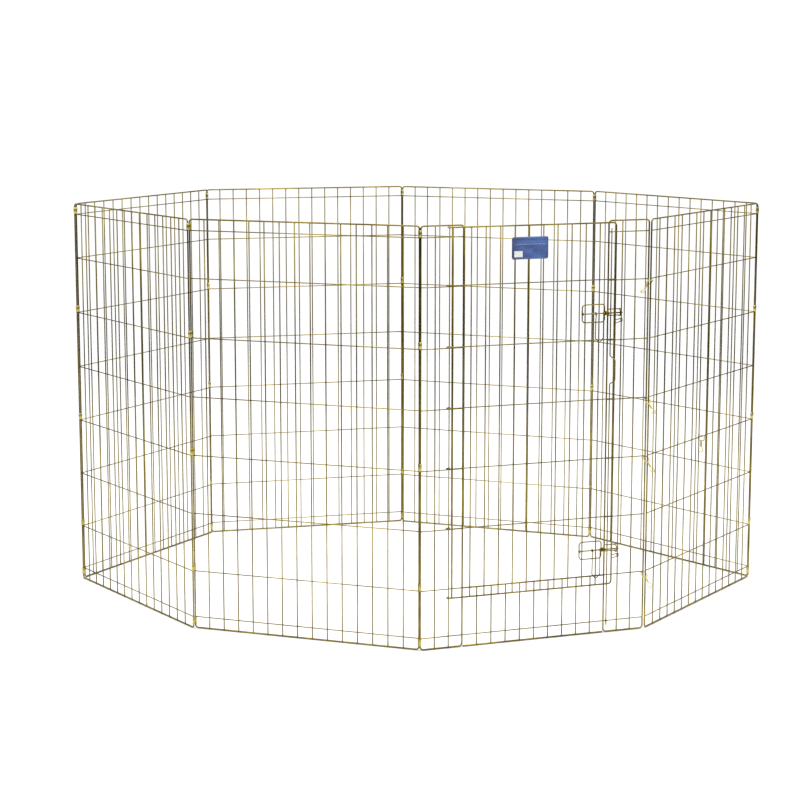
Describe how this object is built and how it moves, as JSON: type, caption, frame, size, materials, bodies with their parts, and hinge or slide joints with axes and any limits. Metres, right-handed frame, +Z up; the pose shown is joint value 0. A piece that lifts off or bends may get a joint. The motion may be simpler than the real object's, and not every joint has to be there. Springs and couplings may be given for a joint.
{
  "type": "folding wire pet playpen",
  "caption": "Folding wire exercise pen for a pet: hinged wire-grid panels in a ring, with a drop-handle latched door, clip hinges and corner snaps.",
  "frame": {"origin": "on the floor, under the middle of the whole pen's bounding box at rest", "axes": "+Z up; +X along the door panel, towards its latch side, and along the longest extent; the door panel faces -Y"},
  "size_m": [1.8066, 1.3846, 1.0668],
  "materials": {
    "wire_zinc": "gold zinc plate over drawn steel wire",
    "clip_zinc": "bright gold zinc plate over sheet and spring steel",
    "tag_card": "printed card, semi-gloss"
  },
  "bodies": {
    "panel_1": {"panel_1_latch_stile": "wire_zinc", "panel_1_hinge_stile": "wire_zinc", "panel_1_sill": "wire_zinc", "corner_1_clip_1": "clip_zinc", "corner_1_clip_2": "clip_zinc", "corner_1_clip_3": "clip_zinc", "corner_1_clip_4": "clip_zinc", "corner_1_clip_5": "clip_zinc"},
    "door": {"door": "wire_zinc", "tag_card": "tag_card", "upper_latch_guide": "wire_zinc", "lower_latch_guide": "wire_zinc"},
    "lock_rod": {"lock_rod": "wire_zinc"},
    "upper_bolt": {"upper_latch_bolt": "wire_zinc"},
    "upper_handle": {"upper_latch_handle": "wire_zinc"},
    "lower_bolt": {"lower_latch_bolt": "wire_zinc"},
    "lower_handle": {"lower_latch_handle": "wire_zinc"},
    "panel_2": {"panel_2": "wire_zinc", "corner_2_clip_1": "clip_zinc", "corner_2_clip_2": "clip_zinc", "corner_2_clip_3": "clip_zinc", "corner_2_clip_4": "clip_zinc", "corner_2_clip_5": "clip_zinc"},
    "panel_3": {"panel_3": "wire_zinc", "corner_3_clip_1": "clip_zinc", "corner_3_clip_2": "clip_zinc", "corner_3_clip_3": "clip_zinc", "corner_3_clip_4": "clip_zinc", "corner_3_clip_5": "clip_zinc"},
    "panel_4": {"panel_4": "wire_zinc", "corner_4_clip_1": "clip_zinc", "corner_4_clip_2": "clip_zinc", "corner_4_clip_3": "clip_zinc", "corner_4_clip_4": "clip_zinc", "corner_4_clip_5": "clip_zinc"},
    "panel_5": {"panel_5": "wire_zinc", "corner_5_clip_1": "clip_zinc", "corner_5_clip_2": "clip_zinc", "corner_5_clip_3": "clip_zinc", "corner_5_clip_4": "clip_zinc", "corner_5_clip_5": "clip_zinc"},
    "panel_6": {"panel_6": "wire_zinc", "corner_6_clip_1": "clip_zinc", "corner_6_clip_2": "clip_zinc", "corner_6_clip_3": "clip_zinc", "corner_6_clip_4": "clip_zinc", "corner_6_clip_5": "clip_zinc"},
    "panel_7": {"panel_7": "wire_zinc", "corner_7_clip_1": "clip_zinc", "corner_7_clip_2": "clip_zinc", "corner_7_clip_3": "clip_zinc", "corner_7_clip_4": "clip_zinc", "corner_7_clip_5": "clip_zinc"},
    "panel_8": {"panel_8": "wire_zinc"},
    "snap_1": {"corner_snap_1": "clip_zinc"},
    "snap_2": {"corner_snap_2": "clip_zinc"},
    "snap_3": {"corner_snap_3": "clip_zinc"},
    "snap_4": {"corner_snap_4": "clip_zinc"},
    "spare_snap": {"spare_snap": "clip_zinc"}
  },
  "joints": [
    {"name": "corner_4_fold", "type": "hinge", "parent": "panel_5", "child": "panel_4", "pos_m": [-0.4338, 0.68988, 0], "axis": [0, 0, 1], "range_deg": [-221.4, 0]},
    {"name": "corner_3_fold", "type": "hinge", "parent": "panel_4", "child": "panel_3", "pos_m": [-0.89541, 0.28679, 0], "axis": [0, 0, 1], "range_deg": [0, 108.52]},
    {"name": "corner_2_fold", "type": "hinge", "parent": "panel_3", "child": "panel_2", "pos_m": [-0.70969, -0.29538, 0], "axis": [0, 0, 1], "range_deg": [-210.92, 0]},
    {"name": "corner_1_fold", "type": "hinge", "parent": "panel_2", "child": "panel_1", "pos_m": [-0.21688, -0.65965, 0], "axis": [0, 0, 1], "range_deg": [0, 139.12]},
    {"name": "corner_5_fold", "type": "hinge", "parent": "panel_5", "child": "panel_6", "pos_m": [0.17475, 0.63442, 0], "axis": [0, 0, 1], "range_deg": [-142.52, 0]},
    {"name": "corner_6_fold", "type": "hinge", "parent": "panel_6", "child": "panel_7", "pos_m": [0.65917, 0.25906, 0], "axis": [0, 0, 1], "range_deg": [0, 204.55]},
    {"name": "corner_7_fold", "type": "hinge", "parent": "panel_7", "child": "panel_8", "pos_m": [0.89563, -0.30441, 0], "axis": [0, 0, 1], "range_deg": [-98.71, 0]},
    {"name": "door_hinge", "type": "hinge", "parent": "panel_1", "child": "door", "pos_m": [-0.14143, -0.66671, 0.595], "axis": [0, 0, -1], "range_deg": [0, 140]},
    {"name": "lock_rod_turn", "type": "hinge", "parent": "panel_1", "child": "lock_rod", "pos_m": [0.29057, -0.66676, 0.686], "axis": [0, 0, -1], "range_deg": [0, 100]},
    {"name": "upper_bolt_slide", "type": "slide", "parent": "door", "child": "upper_bolt", "axis": [-1, 0, 0], "range_m": [0, 0.028]},
    {"name": "upper_handle_swing", "type": "hinge", "parent": "upper_bolt", "child": "upper_handle", "pos_m": [0.25557, -0.67746, 0.833], "axis": [-1, 0, 0], "range_deg": [0, 120]},
    {"name": "lower_bolt_slide", "type": "slide", "parent": "door", "child": "lower_bolt", "axis": [-1, 0, 0], "range_m": [0, 0.028]},
    {"name": "lower_handle_swing", "type": "hinge", "parent": "lower_bolt", "child": "lower_handle", "pos_m": [0.25557, -0.67746, 0.223], "axis": [-1, 0, 0], "range_deg": [0, 120]},
    {"name": "corner_snap_1_turn", "type": "hinge", "parent": "panel_8", "child": "snap_1", "pos_m": [0.39821, -0.66375, 0.9054], "axis": [0, 0, 1], "range_deg": [-12, 12]},
    {"name": "corner_snap_2_turn", "type": "hinge", "parent": "panel_8", "child": "snap_2", "pos_m": [0.39821, -0.66375, 0.6006], "axis": [0, 0, 1], "range_deg": [-12, 12]},
    {"name": "corner_snap_3_turn", "type": "hinge", "parent": "panel_8", "child": "snap_3", "pos_m": [0.39821, -0.66375, 0.4482], "axis": [0, 0, 1], "range_deg": [-12, 12]},
    {"name": "corner_snap_4_turn", "type": "hinge", "parent": "panel_8", "child": "snap_4", "pos_m": [0.39821, -0.66375, 0.1434], "axis": [0, 0, 1], "range_deg": [-12, 12]},
    {"name": "spare_snap_swing", "type": "hinge", "parent": "panel_8", "child": "spare_snap", "pos_m": [0.64818, -0.48237, 0.4572], "axis": [-0.8094, -0.5873, 0], "range_deg": [-45, 45]}
  ],
  "couplings": [
    {"joint": "corner_3_fold", "follows": "corner_4_fold", "ratio": -0.49006},
    {"joint": "corner_2_fold", "follows": "corner_4_fold", "ratio": 0.95257},
    {"joint": "corner_1_fold", "follows": "corner_4_fold", "ratio": -0.62828},
    {"joint": "corner_5_fold", "follows": "corner_4_fold", "ratio": 0.64363},
    {"joint": "corner_6_fold", "follows": "corner_4_fold", "ratio": -0.92379},
    {"joint": "corner_7_fold", "follows": "corner_4_fold", "ratio": 0.44577}
  ]
}
